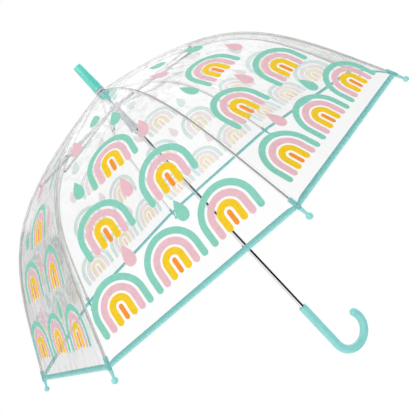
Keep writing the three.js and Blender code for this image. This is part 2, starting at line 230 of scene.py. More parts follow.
class Nodes:
    """The node tree of a material or world, with short calls to add and join nodes."""

    def __init__(self, owner, output="ShaderNodeOutputMaterial"):
        owner.use_nodes = True
        self.owner = owner
        self.tree = owner.node_tree
        self.tree.nodes.clear()
        self.out = self.add(output)

    def add(self, kind, **values):
        node = self.tree.nodes.new(kind)
        for key, value in values.items():
            setattr(node, key, value)
        return node

    def join(self, source, target):
        self.tree.links.new(source, target)

    def math(self, operation, a, b=None, clamp=False):
        node = self.add("ShaderNodeMath", operation=operation, use_clamp=clamp)
        for socket, value in zip(node.inputs, (a, b)):
            if value is None:
                continue
            if isinstance(value, (int, float)):
                socket.default_value = value
            else:
                self.join(value, socket)
        return node.outputs[0]

    def noise(self, scale, detail=3, stretch=(1, 1, 1)):
        place = self.add("ShaderNodeTexCoord")
        mapping = self.add("ShaderNodeMapping")
        mapping.inputs["Scale"].default_value = stretch
        noise = self.add("ShaderNodeTexNoise")
        noise.inputs["Scale"].default_value = scale
        noise.inputs["Detail"].default_value = detail
        self.join(place.outputs["Object"], mapping.inputs[0])
        self.join(mapping.outputs[0], noise.inputs["Vector"])
        return noise.outputs["Fac"]

    def ramp(self, factor, low, high, start=0.35, end=0.65):
        ramp = self.add("ShaderNodeValToRGB")
        ramp.color_ramp.elements[0].position, ramp.color_ramp.elements[0].color = start, low
        ramp.color_ramp.elements[1].position, ramp.color_ramp.elements[1].color = end, high
        self.join(factor, ramp.inputs[0])
        return ramp.outputs[0]

    def ranged(self, factor, low, high):
        node = self.add("ShaderNodeMapRange")
        node.inputs["From Min"].default_value, node.inputs["From Max"].default_value = 0.3, 0.7
        node.inputs["To Min"].default_value, node.inputs["To Max"].default_value = low, high
        self.join(factor, node.inputs["Value"])
        return node.outputs[0]

    def bump(self, height, strength, distance):
        node = self.add("ShaderNodeBump")
        node.inputs["Strength"].default_value = strength
        node.inputs["Distance"].default_value = distance
        self.join(height, node.inputs["Height"])
        return node.outputs[0]


def solid(name, colour, roughness, metallic=0.0, scale=120.0, spread=0.06, coat=0.0, bump=0.0,
          stretch=(1, 1, 1), subsurface=0.0):
    """A surface whose colour, roughness and fine bump vary a little."""
    n = Nodes(bpy.data.materials.new(name))
    shader = n.add("ShaderNodeBsdfPrincipled")
    pattern = n.noise(scale, 4, stretch)
    shade = n.ramp(pattern, tinted(colour, 1 - spread), tinted(colour, 1 + spread))
    n.join(shade, shader.inputs["Base Color"])
    n.join(n.ranged(pattern, roughness * 0.85, roughness * 1.2), shader.inputs["Roughness"])
    shader.inputs["Metallic"].default_value = metallic
    shader.inputs["Coat Weight"].default_value = coat
    shader.inputs["Coat Roughness"].default_value = 0.06
    if subsurface:
        shader.inputs["Subsurface Weight"].default_value = subsurface
        shader.inputs["Subsurface Scale"].default_value = 0.004
    if bump:
        n.join(n.bump(n.noise(scale * 4, 2, stretch), bump, 0.0002), shader.inputs["Normal"])
    n.join(shader.outputs[0], n.out.inputs[0])
    return n.owner


def clear_film(name, least, most, haze, mirror, ripple, stretch):
    """Clear film: see-through head on, and a streaky mirror where it is seen at a slant."""
    n = Nodes(bpy.data.materials.new(name))
    clear = n.add("ShaderNodeBsdfTransparent")
    clear.inputs["Color"].default_value = (0.982, 0.984, 0.984, 1)
    shine = n.add("ShaderNodeBsdfPrincipled")
    streaks = n.noise(90.0, 4, (1, 1, 0.07))
    tone = n.ramp(streaks, tinted(haze, 0.62), haze, 0.4, 0.5)
    n.join(tone, shine.inputs["Base Color"])
    shine.inputs["Metallic"].default_value = mirror
    shine.inputs["Roughness"].default_value = 0.09
    shine.inputs["Specular IOR Level"].default_value = 0.6
    slant = n.add("ShaderNodeLayerWeight")
    slant.inputs["Blend"].default_value = 0.5
    waves = n.noise(14.0, 2, stretch)
    creases = n.math("MULTIPLY", n.noise(70.0, 3, (1, 1, 0.12)), 0.3)
    normal = n.bump(n.math("ADD", waves, creases), ripple, 0.004)
    n.join(normal, shine.inputs["Normal"])
    n.join(normal, slant.inputs["Normal"])
    share = n.math("POWER", slant.outputs["Facing"], 2.4)
    share = n.math("MULTIPLY", share, most - least)
    share = n.math("ADD", share, least, clamp=True)
    mix = n.add("ShaderNodeMixShader")
    n.join(share, mix.inputs[0])
    n.join(clear.outputs[0], mix.inputs[1])
    n.join(shine.outputs[0], mix.inputs[2])
    n.join(mix.outputs[0], n.out.inputs[0])
    return n.owner


STITCH_PITCH, STITCH_HEIGHT, STITCH_HALF = 2.6 * MM, 6.6 * MM, 0.45 * MM


def tape_material(name, colour, alpha):
    """Teal binding tape that lets a little light through, with a row of stitches near its top edge."""
    n = Nodes(bpy.data.materials.new(name))
    shader = n.add("ShaderNodeBsdfPrincipled")
    weave = n.noise(900.0, 2)
    uv = n.add("ShaderNodeUVMap", uv_map="Along")
    parts = n.add("ShaderNodeSeparateXYZ")
    n.join(uv.outputs[0], parts.inputs[0])
    up = n.math("DIVIDE", parts.outputs[1], HEM_WIDTH, clamp=True)
    tone = n.math("ADD", up, n.math("MULTIPLY", n.math("SUBTRACT", weave, 0.5), 0.3))
    tone = n.ramp(tone, tinted(colour, 1.28), tinted(colour, 0.9), 0.0, 0.95)
    n.join(tone, shader.inputs["Base Color"])
    n.join(n.ranged(weave, 0.3, 0.45), shader.inputs["Roughness"])
    shader.inputs["Sheen Weight"].default_value = 0.15
    shader.inputs["Coat Weight"].default_value = 0.25
    shader.inputs["Coat Roughness"].default_value = 0.2
    dash = n.math("SINE", n.math("MULTIPLY", parts.outputs[0], 2 * math.pi / STITCH_PITCH))
    row = n.math("SUBTRACT", parts.outputs[1], STITCH_HEIGHT)
    row = n.math("LESS_THAN", n.math("ABSOLUTE", row), STITCH_HALF)
    stitch = n.math("MULTIPLY", row, n.math("GREATER_THAN", dash, -0.3))
    height = n.math("ADD", n.math("MULTIPLY", stitch, 0.8), n.math("MULTIPLY", weave, 0.25))
    n.join(n.bump(height, 0.7, 0.0005), shader.inputs["Normal"])
    through = n.add("ShaderNodeBsdfTranslucent")
    through.inputs["Color"].default_value = tinted(colour, 1.2)
    both = n.add("ShaderNodeMixShader")
    both.inputs[0].default_value = 0.4
    n.join(shader.outputs[0], both.inputs[1])
    n.join(through.outputs[0], both.inputs[2])
    clear = n.add("ShaderNodeBsdfTransparent")
    clear.inputs["Color"].default_value = (0.93, 0.98, 0.98, 1)
    mix = n.add("ShaderNodeMixShader")
    n.join(n.ranged(up, alpha - 0.25, alpha), mix.inputs[0])
    n.join(clear.outputs[0], mix.inputs[1])
    n.join(both.outputs[0], mix.inputs[2])
    n.join(mix.outputs[0], n.out.inputs[0])
    return n.owner


steel = solid("bright_steel", srgb(232, 233, 235), roughness=0.08, metallic=1.0, scale=60, spread=0.03,
              bump=0.02, stretch=(1, 1, 0.05))
rib_steel = solid("rib_steel", srgb(216, 216, 211), roughness=0.38, metallic=0.25, scale=150, bump=0.05)
rivet_steel = solid("rivet_steel", srgb(121, 121, 117), roughness=0.35, metallic=0.5, scale=150, bump=0.05)
stretcher_paint = solid("coated_steel", srgb(204, 205, 208), roughness=0.3, metallic=0.6, scale=200,
                        spread=0.04, coat=0.2, bump=0.06)
mint_plastic = solid("mint_plastic", srgb(140, 212, 208), roughness=0.2, scale=90, spread=0.035, coat=0.6,
                     bump=0.03, subsurface=0.15)
turquoise_plastic = solid("turquoise_plastic", srgb(104, 214, 198), roughness=0.18, scale=90, spread=0.04,
                          coat=0.6, bump=0.03, subsurface=0.15)
grey_plastic = solid("grey_plastic", srgb(194, 196, 203), roughness=0.32, scale=140, spread=0.03, coat=0.2,
                     bump=0.05)
film = clear_film("clear_film", least=0.015, most=0.8, haze=(0.94, 0.94, 0.935, 1), mirror=0.8,
                  ripple=0.7, stretch=(1, 1, 0.25))
seam_film = clear_film("welded_seam", least=0.03, most=0.35, haze=(0.9, 0.9, 0.9, 1), mirror=0.5,
                       ripple=0.4, stretch=(6, 6, 6))
weld_line = clear_film("weld_line", least=0.55, most=0.8, haze=(0.17, 0.17, 0.14, 1), mirror=0.0,
                       ripple=0.3, stretch=(6, 6, 6))
teal_tape = tape_material("teal_tape", srgb(150, 210, 206), alpha=0.66)
sleeve_tape = tape_material("sleeve_tape", srgb(164, 226, 224), alpha=0.6)

INKS = {
    "green": srgb(154, 220, 203),
    "pink": srgb(240, 204, 211),
    "yellow": srgb(248, 216, 28),
    "orange": srgb(250, 166, 52),
}


def ink(name, colour, alpha, through_share):
    """Printed ink: a thin coloured layer that lets a share of the light through."""
    n = Nodes(bpy.data.materials.new(name))
    pattern = n.noise(260.0, 4)
    shade = n.ramp(pattern, tinted(colour, 0.97), tinted(colour, 1.03))
    shader = n.add("ShaderNodeBsdfPrincipled")
    n.join(shade, shader.inputs["Base Color"])
    n.join(n.ranged(pattern, 0.36, 0.48), shader.inputs["Roughness"])
    shader.inputs["Specular IOR Level"].default_value = 0.25
    n.join(n.bump(n.noise(900.0, 2), 0.05, 0.0002), shader.inputs["Normal"])
    through = n.add("ShaderNodeBsdfTranslucent")
    n.join(shade, through.inputs["Color"])
    both = n.add("ShaderNodeMixShader")
    both.inputs[0].default_value = through_share
    n.join(shader.outputs[0], both.inputs[1])
    n.join(through.outputs[0], both.inputs[2])
    clear = n.add("ShaderNodeBsdfTransparent")
    slant = n.add("ShaderNodeLayerWeight")
    slant.inputs["Blend"].default_value = 0.5
    hidden = n.math("MULTIPLY", n.math("POWER", slant.outputs["Facing"], 7.0), 0.9)
    mix = n.add("ShaderNodeMixShader")
    n.join(n.math("MULTIPLY", n.math("SUBTRACT", 1.0, hidden), alpha), mix.inputs[0])
    n.join(clear.outputs[0], mix.inputs[1])
    n.join(both.outputs[0], mix.inputs[2])
    n.join(mix.outputs[0], n.out.inputs[0])
    return n.owner


def pale(colour):
    return tuple(0.3 * c + 0.7 for c in colour[:3]) + (1,)


INK_MATERIALS = [ink(f"ink_{k}", c, alpha=0.94, through_share=0.4) for k, c in INKS.items()]
INK_MATERIALS += [ink(f"ink_back_{k}", pale(c), alpha=0.96, through_share=0.02) for k, c in INKS.items()]

CAD_LOOKS = {
    "shaft_tube": steel, "top_catch_spring": steel, "bottom_catch_spring": steel,
    "notch_wire": steel, "notch_pin": steel, "runner_wire": steel,
    "runner": grey_plastic, "ferrule_washer": grey_plastic, "top_notch": mint_plastic,
}
for k in range(1, RIBS + 1):
    CAD_LOOKS[f"rib_{k}"] = rib_steel
    CAD_LOOKS[f"stretcher_rivet_{k}"] = rivet_steel
    CAD_LOOKS[f"stretcher_{k}"] = stretcher_paint
for node, look in CAD_LOOKS.items():
    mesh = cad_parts[node].data
    mesh.materials.clear()
    mesh.materials.append(look)
    mesh.polygons.foreach_set("use_smooth", [True] * len(mesh.polygons))
    mesh.set_sharp_from_angle(angle=math.radians(35))

# --- handle and ferrule -----------------------------------------------------------------------------------

GRIP_TOP, GRIP_BOTTOM = 48 * MM, -49 * MM
HANDLE_RADIUS, HOOK_RADIUS, HOOK_SWEEP = 8 * MM, 33.5 * MM, math.radians(202)
SOCKET_RADIUS, SOCKET_FLOOR, LIP = 4.3 * MM, -12.3 * MM, 1.1 * MM


def handle():
    """A J-hook tube with a rolled lip at the top and a round end, hollow where the shaft goes in."""
    ahead, side = (1, 0, 0), (0, 1, 0)
    lip_start = GRIP_TOP - LIP
    rings = [
        ((0, 0, SOCKET_FLOOR), ahead, side, 0),
        ((0, 0, SOCKET_FLOOR), ahead, side, SOCKET_RADIUS),
        ((0, 0, lip_start), ahead, side, SOCKET_RADIUS),
        ((0, 0, GRIP_TOP), ahead, side, SOCKET_RADIUS + LIP * 0.6),
    ]
    for i in range(7):
        t = math.pi / 2 * i / 6
        at = (0, 0, lip_start + LIP * math.cos(t))
        rings.append((at, ahead, side, HANDLE_RADIUS - LIP + LIP * math.sin(t)))
    for i in range(1, 9):
        z = lip_start + (GRIP_BOTTOM - lip_start) * i / 8
        rings.append(((0, 0, z), ahead, side, HANDLE_RADIUS))
    steps = 60
    for i in range(1, steps + 1):
        a = HOOK_SWEEP * i / steps
        centre = (HOOK_RADIUS * (1 - math.cos(a)), 0, GRIP_BOTTOM - HOOK_RADIUS * math.sin(a))
        across = (math.cos(a), 0, math.sin(a))
        rings.append((centre, across, side, HANDLE_RADIUS))
    centre, across = Vector(centre), Vector(across)
    forward = Vector((math.sin(HOOK_SWEEP), 0, -math.cos(HOOK_SWEEP)))
    for i in range(1, 9):
        t = math.pi / 2 * i / 8
        radius = HANDLE_RADIUS * math.cos(t) if i < 8 else 0
        rings.append((centre + forward * HANDLE_RADIUS * 0.98 * math.sin(t), across, side, radius))
    return ringed("handle_hook", rings, 40, mint_plastic)


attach(handle_piece := handle(), "shaft")
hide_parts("handle")

low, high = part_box("ferrule")
FERRULE_BASE, FERRULE_TOP = low.z, high.z
BASE_RADIUS, TIP_RADIUS = 8.6 * MM, 7.1 * MM
FERRULE_SOCKET, FERRULE_SOCKET_ABOVE = 4.3 * MM, 12 * MM
BASE_ROUND, TIP_ROUND = 0.7 * MM, 1.2 * MM
# The groove above the base: how deep and how high, as (in from the base's radius, up from the base)
GROOVE = [(0.1 * MM, 3.2 * MM), (0.45 * MM, 3.7 * MM), (0.45 * MM, 4.3 * MM), (0.2 * MM, 4.8 * MM)]


def ferrule():
    """A tapered cap with a groove near its base and a rounded flat end, hollow where the shaft goes in."""
    floor_z = FERRULE_TOP - FERRULE_SOCKET_ABOVE
    profile = [(0, floor_z), (FERRULE_SOCKET, floor_z), (FERRULE_SOCKET, FERRULE_BASE)]
    profile.append((BASE_RADIUS - BASE_ROUND, FERRULE_BASE))
    for i in range(1, 5):
        t = math.pi / 2 * i / 4
        radius = BASE_RADIUS - BASE_ROUND * (1 - math.sin(t))
        profile.append((radius, FERRULE_BASE + BASE_ROUND * (1 - math.cos(t))))
    profile += [(BASE_RADIUS - inward, FERRULE_BASE + up) for inward, up in GROOVE]
    for i in range(6):
        t = math.pi / 2 * i / 5
        radius = TIP_RADIUS - TIP_ROUND + TIP_ROUND * math.cos(t)
        profile.append((radius, FERRULE_TOP - TIP_ROUND + TIP_ROUND * math.sin(t)))
    profile.append((0, FERRULE_TOP))
    return lathe("ferrule_cap", profile, turquoise_plastic)


ferrule_piece = ferrule()
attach(ferrule_piece, "shaft")
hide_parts("ferrule")

# --- the print: rainbows and drops, laid out flat on a panel ----------------------------------------------

ARCH_RADII = {"green": (29.6, 38.0), "pink": (17.6, 26.4), "yellow": (6.2, 15.0)}
ARCH_LEGS = {"green": 20.5, "pink": 20.0, "yellow": 19.0}
BAR_HALF_WIDTH, BAR_BELOW, BAR_ABOVE = 3.0, 17.5, 3.0
RAINBOWS = [(0, 200), (-50, 129), (50, 129), (-83, 46), (0, 46), (83, 46)]
# Colour, place, lean in degrees and size
DROPS = [("green", 4, 311, 0, 1.15), ("pink", -32, 275, 0, 1.2), ("green", 37, 266, -4, 1.15),
         ("green", -56, 200, 0, 1), ("pink", 57, 205, 3, 1), ("pink", 0, 156, 0, 1), ("pink", -43, 87, 0, 1),
         ("green", 39, 86, 0, 1)]
DROP_WIDTH, DROP_HEIGHT, DROP_TAPER, DROP_FULLNESS = 16.6, 30.0, 1.15, 0.78
# How far each panel's print stands off its place: sideways at the hem and for each millimetre up, upward in
# the same way, and sideways for the drops near the top
PRINT_SHIFT = {
    5: (-9.0, 0.03, 4.0, 0.0, 0),
    6: (-4.8, 0.01, 0.0, 0.03, -8.6),
    7: (2.2, -0.01, -4.4, 0.043, 8.2),
}
USUAL_SHIFT = (0.0, 0.0, 1.0, 0.03, 0)
TOP_DROPS = 250  # drops above this height are the top ones


def arch(inner, outer, legs, steps=28):
    """A round-ended arch, as a strip of (left point, right point) pairs."""
    middle, half = (inner + outer) / 2, (outer - inner) / 2
    pairs = []
    for i in range(5):
        t = math.pi / 2 * i / 4
        y, w = -legs + half - half * math.cos(t), half * math.sin(t)
        pairs.append(((-middle - w, y), (-middle + w, y)))
    pairs.append(((-outer, -legs * 0.45), (-inner, -legs * 0.45)))
    for i in range(steps + 1):
        t = math.pi - math.pi * i / steps
        c, s = math.cos(t), math.sin(t)
        pairs.append(((outer * c, outer * s), (inner * c, inner * s)))
    other = [((-b[0], b[1]), (-a[0], a[1])) for a, b in pairs[:6]][::-1]
    return pairs + [(b, a) for a, b in other]


def bar():
    """The round-ended bar in a rainbow's middle, as a strip of (left point, right point) pairs."""
    r = BAR_HALF_WIDTH
    turns = [math.pi / 2 * i / 4 for i in range(5)]
    outline = [(r * math.sin(t), -BAR_BELOW + r - r * math.cos(t)) for t in turns]
    outline += [(r * math.cos(t), BAR_ABOVE - r + r * math.sin(t)) for t in turns]
    return [((-x, y), (x, y)) for x, y in outline]


def drop(lean, size):
    """A pointed drop, leaning by so many degrees, as a strip of (left point, right point) pairs."""
    pairs, steps = [], 18
    for i in range(steps + 1):
        t = math.pi * i / steps
        half = size * DROP_WIDTH / 2 * math.sin(t) * math.sin(t / 2) ** DROP_TAPER / DROP_FULLNESS
        y = size * DROP_HEIGHT / 2 * math.cos(t)
        shift = math.tan(math.radians(lean)) * y
        pairs.append(((-half + shift, y), (half + shift, y)))
    return pairs


def strip_into(bm, pairs, at, index):
    left = [bm.verts.new((at[0] + a[0], at[1] + a[1], 0)) for a, b in pairs]
    right = [bm.verts.new((at[0] + b[0], at[1] + b[1], 0)) for a, b in pairs]
    for i in range(len(pairs) - 1):
        bm.faces.new((left[i], left[i + 1], right[i + 1], right[i])).material_index = index


def flat_print(shift):
    """The whole print of one panel, cut along the film's rows and the panel's middle. Millimetres, y up."""
    bm = bmesh.new()
    inks = list(INKS)

    def place(x, y):
        top = shift[4] if y > TOP_DROPS else 0
        return x + shift[0] + shift[1] * y + top, y + shift[2] + shift[3] * y

    for x, y in RAINBOWS:
        for name, (inner, outer) in ARCH_RADII.items():
            strip_into(bm, arch(inner, outer, ARCH_LEGS[name]), place(x, y), inks.index(name))
        strip_into(bm, bar(), place(x, y), inks.index("orange"))
    for name, x, y, lean, size in DROPS:
        strip_into(bm, drop(lean, size), place(x, y), inks.index(name))
    bmesh.ops.remove_doubles(bm, verts=bm.verts, dist=1e-4)
    bmesh.ops.dissolve_degenerate(bm, dist=1e-4, edges=bm.edges)
    cuts = [((0, height_at_share(share) / MM, 0), (0, 1, 0)) for share in ROW_SHARES[1:-1]]
    cuts.append(((0, 0, 0), (1, 0, 0)))
    for at, normal in cuts:
        everything = bm.verts[:] + bm.edges[:] + bm.faces[:]
        bmesh.ops.bisect_plane(bm, geom=everything, dist=1e-5, plane_co=at, plane_no=normal)
    bm.normal_update()
    for face in bm.faces:
        if face.normal.z < 0:
            face.normal_flip()
    return bm


TOP_SHARE = share_at_radius(GORE_TOP_RADIUS)
TAPE_SHARE = 1 - HEM_WIDTH / RIB_LENGTH
FILM_END_SHARE = 1 - 2 * MM / RIB_LENGTH  # the film ends inside the folded tape
ROW_SHARES = np.linspace(TOP_SHARE, FILM_END_SHARE, BANDS * ROWS_PER_BAND + 1)
BAND_SHARES = ROW_SHARES[::ROWS_PER_BAND]
PRINT_OUT = (0.45 * MM, 0.25 * MM)  # the ink's colour and its pale backing, outside the film


def printed_faces(panel):
    """{(rib, band): (points, faces, ink indices)} for one panel's print, both layers."""
    bm = flat_print(PRINT_SHIFT.get(panel, USUAL_SHIFT))
    found = {}
    for face in bm.faces:
        centre = face.calc_center_median()
        rib = panel if centre.x < 0 else panel % RIBS + 1
        share = float(share_at_height(centre.y * MM))
        band = int(np.clip(np.searchsorted(BAND_SHARES, share) - 1, 0, BANDS - 1))
        points, faces, indices = found.setdefault((rib, band), ([], [], []))
        flat = np.array([v.co[:2] for v in face.verts]) * MM
        shares = share_at_height(flat[:, 1])
        across = flat[:, 0] / (line_at(shares)[0] * math.sin(HALF_PANEL))
        for layer, out in enumerate(PRINT_OUT):
            order = range(len(flat)) if layer == 0 else reversed(range(len(flat)))
            placed = on_panel(panel, across, shares, out)
            faces.append([len(points) + i for i in order])
            points.extend(placed)
            indices.append(face.material_index + layer * len(INKS))
    bm.free()
    return found


# --- film, print, seams, hem tape and rib ends ------------------------------------------------------------


def folds(obj):
    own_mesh(obj)


ACROSS = np.linspace(0, 1, HALF_COLUMNS)


def gore_grid(rib, shares, out=0.0, reach=1.0):
    """Rows of points across one rib's strip: from the panel before it, over the rib, into the panel after."""
    before, after = (rib - 2) % RIBS + 1, rib
    rows = []
    for share in shares:
        left = on_panel(before, 1 - reach * (1 - ACROSS[:-1]), share, out)
        right = on_panel(after, -1 + reach * ACROSS[1:], share, out)
        rows.append(np.concatenate([left, on_rib(rib, share, out)[None], right]))
    return np.array(rows)


def smooth_normals(obj, rib, shares):
    """Normals of the true surface, so that neighbouring strips shade as one sheet, creased at the rib."""
    before, after = (rib - 2) % RIBS + 1, rib
    columns = 2 * HALF_COLUMNS - 1
    normals = []
    for polygon in obj.data.polygons:
        left = min(v % columns for v in polygon.vertices) < HALF_COLUMNS - 1
        for v in polygon.vertices:
            row, column = divmod(v, columns)
            if left:
                normals.append(panel_normal(before, np.float64(column / (HALF_COLUMNS - 1)), shares[row]))
            else:
                across = np.float64((column - 2 * (HALF_COLUMNS - 1)) / (HALF_COLUMNS - 1))
                normals.append(panel_normal(after, across, shares[row]))
    obj.data.normals_split_custom_set([tuple(map(float, n)) for n in normals])


def film_band(rib, band):
    shares = ROW_SHARES[band * ROWS_PER_BAND : (band + 1) * ROWS_PER_BAND + 1]
    grid = gore_grid(rib, shares)
    rows, columns = grid.shape[:2]
    obj = new_mesh(f"film_{rib}_{band + 1}", grid.reshape(-1, 3), grid_faces(rows, columns), film)
    smooth_normals(obj, rib, shares)
    return obj, shares


prints = {}
for panel in range(1, RIBS + 1):
    for key, (points, faces, indices) in printed_faces(panel).items():
        all_points, all_faces, all_indices = prints.setdefault(key, ([], [], []))
        start = len(all_points)
        all_points.extend(points)
        all_faces.extend([[start + i for i in face] for face in faces])
        all_indices.extend(indices)

for rib in range(1, RIBS + 1):
    for band in range(BANDS):
        obj, shares = film_band(rib, band)
        pieces = [obj]
        if (rib, band) in prints:
            points, faces, indices = prints[(rib, band)]
            name = f"print_{rib}_{band + 1}"
            pieces.append(new_mesh(name, points, faces, INK_MATERIALS, smooth=False, indices=indices))
        for piece in pieces:
            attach(piece, f"rib_{rib}")
            folds(piece)
        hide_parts(f"canopy_gore_{rib}")

SEAM_HALF = 5 * MM
# From the seam's edge to its middle: (share of the half width, millimetres outside the film)
SEAM_OFFSETS = [(1.0, 0.08), (0.86, 0.22), (0.72, 0.18), (0.18, 0.24)]
SEAM_MIDDLE_OUT = 0.28


def seam(rib):
    """The welded seam over a rib: a narrow double layer of film with a raised edge each side."""
    shares = np.linspace(TOP_SHARE, TAPE_SHARE, 61)
    before, after = (rib - 2) % RIBS + 1, rib
    rows = []
    for share in shares:
        half = line_at(share)[0] * math.sin(HALF_PANEL)
        reach = min(1.0, SEAM_HALF / half)
        left = [on_panel(before, np.float64(1 - reach * w), share, o * MM) for w, o in SEAM_OFFSETS]
        right = [on_panel(after, np.float64(-1 + reach * w), share, o * MM) for w, o in SEAM_OFFSETS[::-1]]
        rows.append(left + [on_rib(rib, share, SEAM_MIDDLE_OUT * MM)] + right)
    grid = np.array(rows)
    faces = grid_faces(*grid.shape[:2])
    half_strips = len(SEAM_OFFSETS)
    beside_middle = (half_strips - 1, half_strips)
    weld = [1 if i % (2 * half_strips) in beside_middle else 0 for i in range(len(faces))]
    obj = new_mesh(f"seam_{rib}", grid.reshape(-1, 3), faces, [seam_film, weld_line], indices=weld)
    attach(obj, f"rib_{rib}")


def tape_section():
    """The folded tape's closed section, as (height above the hem, distance outside the film) points."""
    outer, inner = 0.75 * MM, 0.35 * MM
    top = HEM_WIDTH + 0.4 * MM
    section = [(top, outer - 0.15 * MM), (top - 1.2 * MM, outer), (3 * MM, outer), (0.6 * MM, outer)]
    section += [(0.1 * MM, 0.55 * MM), (-0.15 * MM, 0.0), (0.1 * MM, -0.55 * MM)]
    section += [(0.6 * MM, -outer), (3 * MM, -outer), (top - 1.2 * MM, -outer), (top, -outer + 0.15 * MM)]
    section += [(top, -inner), (1.2 * MM, -inner), (0.8 * MM, 0.0), (1.2 * MM, inner), (top, inner)]
    return section


PINCH, PINCH_REACH = 0.3, 7 * MM


def pinched(distance):
    """How much of the tape's width is left at a distance from a rib's end, where it is gathered."""
    return 1 - PINCH * math.exp(-((distance / PINCH_REACH) ** 2))


def swept_tape(name, rib, section, columns):
    """A closed section swept across a rib's strip. columns are (panel side, across), None for the rib."""
    before, after = (rib - 2) % RIBS + 1, rib
    points, along = [], []
    for side, across in columns:
        distance = 0 if side is None else (1 - abs(across)) * RIM_RADIUS * math.sin(HALF_PANEL)
        for h, out in section:
            h *= pinched(distance)
            share = float(share_at_height(max(h, 0)))
            if side is None:
                p = on_rib(rib, share, out)
            else:
                p = on_panel(before if side < 0 else after, np.float64(across), share, out)
            points.append(p + np.array([0, 0, min(h, 0)]))
            along.append((distance * (side or 0), h))
    n, m = len(section), len(columns)
    faces = [(c * n + i, c * n + (i + 1) % n, (c + 1) * n + (i + 1) % n, (c + 1) * n + i)
             for c in range(m - 1) for i in range(n)]
    faces += [tuple(range(n))[::-1], tuple(range((m - 1) * n, m * n))]
    obj = new_mesh(name, points, faces, teal_tape)
    bm = bmesh.new()
    bm.from_mesh(obj.data)
    bmesh.ops.recalc_face_normals(bm, faces=bm.faces)
    bm.to_mesh(obj.data)
    bm.free()
    layer = obj.data.uv_layers.new(name="Along")
    for loop in obj.data.loops:
        layer.data[loop.index].uv = along[loop.vertex_index]
    obj.data.set_sharp_from_angle(angle=math.radians(50))
    return obj


def hem_tape(rib):
    steps = 1 - np.linspace(1, 0, 17)[:-1] ** 1.6
    columns = [(-1, a) for a in steps] + [(None, 0)] + [(1, -a) for a in steps[::-1]]
    obj = swept_tape(f"hem_binding_{rib}", rib, tape_section(), columns)
    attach(obj, f"rib_{rib}")
    folds(obj)
    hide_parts(f"hem_tape_{rib}")


POCKET_TOP, POCKET_HALF = 15 * MM, 2.7 * MM
POCKET_OUTSIDE, POCKET_INSIDE = 1.1 * MM, -4.1 * MM  # out from the film's surface
# The sleeve's rings: (millimetres above the hem, share of the sleeve's width)
POCKET_RINGS = [(-0.6, 0.92), (1.5, 1.0), (5, 1.02), (9, 1.0), (12.5, 1.0), (14.2, 1.05), (15, 1.0)]


def pocket(rib):
    """The narrow sleeve of tape sewn round the film's edge and a rib's end, a little wider at its mouth."""
    side = np.array([-math.sin(azimuth(rib)), math.cos(azimuth(rib)), 0])
    middle = (POCKET_OUTSIDE + POCKET_INSIDE) / 2
    half_depth = (POCKET_OUTSIDE - POCKET_INSIDE) / 2
    segments = 20
    rows = []
    for h, swell in POCKET_RINGS:
        share = min(1.0, 1 - h * MM / RIB_LENGTH)
        beyond = max(0.0, -h * MM)
        ring = []
        for i in range(segments):
            t = 2 * math.pi * i / segments
            crease = 1 + 0.05 * math.sin(3 * t + h)
            centre = on_rib(rib, share, middle + half_depth * swell * crease * math.cos(t), beyond)
            ring.append(centre + POCKET_HALF * swell * crease * math.sin(t) * side)
        rows.append(ring)
    faces = [
        (r * segments + i, r * segments + (i + 1) % segments, (r + 1) * segments + (i + 1) % segments,
         (r + 1) * segments + i)
        for r in range(len(rows) - 1)
        for i in range(segments)
    ]
    obj = new_mesh(f"rib_pocket_{rib}", np.array(rows).reshape(-1, 3), faces, sleeve_tape)
    obj.data.uv_layers.new(name="Along")
    thick = obj.modifiers.new("cloth", "SOLIDIFY")
    thick.thickness = 0.4 * MM
    thick.offset = 0
    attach(obj, f"rib_{rib}")


BALL_RADIUS, STEM_RADIUS, NECK_RADIUS = 4.1 * MM, 2.3 * MM, 1.7 * MM
BORE_RADIUS, BORE_DEPTH = 1.6 * MM, 10 * MM
TIP_START, BALL_REACH = 0.6 * MM, 13.5 * MM  # where the stem starts and the ball's centre, beyond the hem


def rib_tip(rib):
    """The moulded tip pushed on a rib's end: a short stem with a ball past the hem."""
    start = Vector(on_rib(rib, 1.0, -RIB_INSET, TIP_START))
    along = (Vector(on_rib(rib, 1.0, -RIB_INSET, BALL_REACH)) - start).normalized()
    middle = BALL_REACH - TIP_START
    neck = middle - math.sqrt(BALL_RADIUS**2 - NECK_RADIUS**2)
    profile = [(0, BORE_DEPTH), (BORE_RADIUS, BORE_DEPTH), (BORE_RADIUS, 0), (STEM_RADIUS - 0.3 * MM, 0)]
    profile += [(STEM_RADIUS, 0.4 * MM), (STEM_RADIUS, 3.4 * MM)]
    profile += [(STEM_RADIUS - 0.25 * MM, 4.2 * MM), (NECK_RADIUS, neck)]
    first = math.atan2(neck - middle, NECK_RADIUS)
    steps = 14
    for i in range(1, steps + 1):
        a = first + (math.pi / 2 - first) * i / steps
        profile.append((BALL_RADIUS * math.cos(a) if i < steps else 0, middle + BALL_RADIUS * math.sin(a)))
    obj = lathe(f"ball_tip_{rib}", profile, mint_plastic, 28, start, along)
    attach(obj, f"rib_{rib}")
    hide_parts(f"rib_tip_{rib}")


for rib in range(1, RIBS + 1):
    seam(rib)
    hem_tape(rib)
    pocket(rib)
    rib_tip(rib)


def crown_film():
    """The disc of film at the top, from the shaft to where the strips begin."""
    shares = np.linspace(share_at_radius(APEX_RADIUS + 0.1 * MM), TOP_SHARE, 4)
    points, faces = [], []
    steps = 5
    for panel in range(1, RIBS + 1):
        start = len(points)
        for share in shares:
            points.extend(on_panel(panel, np.linspace(-1, 1, steps), share))
        faces += grid_faces(len(shares), steps, start)
    obj = new_mesh("crown_film", points, faces, film)
    bm = bmesh.new()
    bm.from_mesh(obj.data)
    bmesh.ops.remove_doubles(bm, verts=bm.verts, dist=1e-6)
    bm.to_mesh(obj.data)
    bm.free()
    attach(obj, "shaft")
    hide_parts("canopy_crown")


crown_film()

# --- floor, light and camera ------------------------------------------------------------------------------

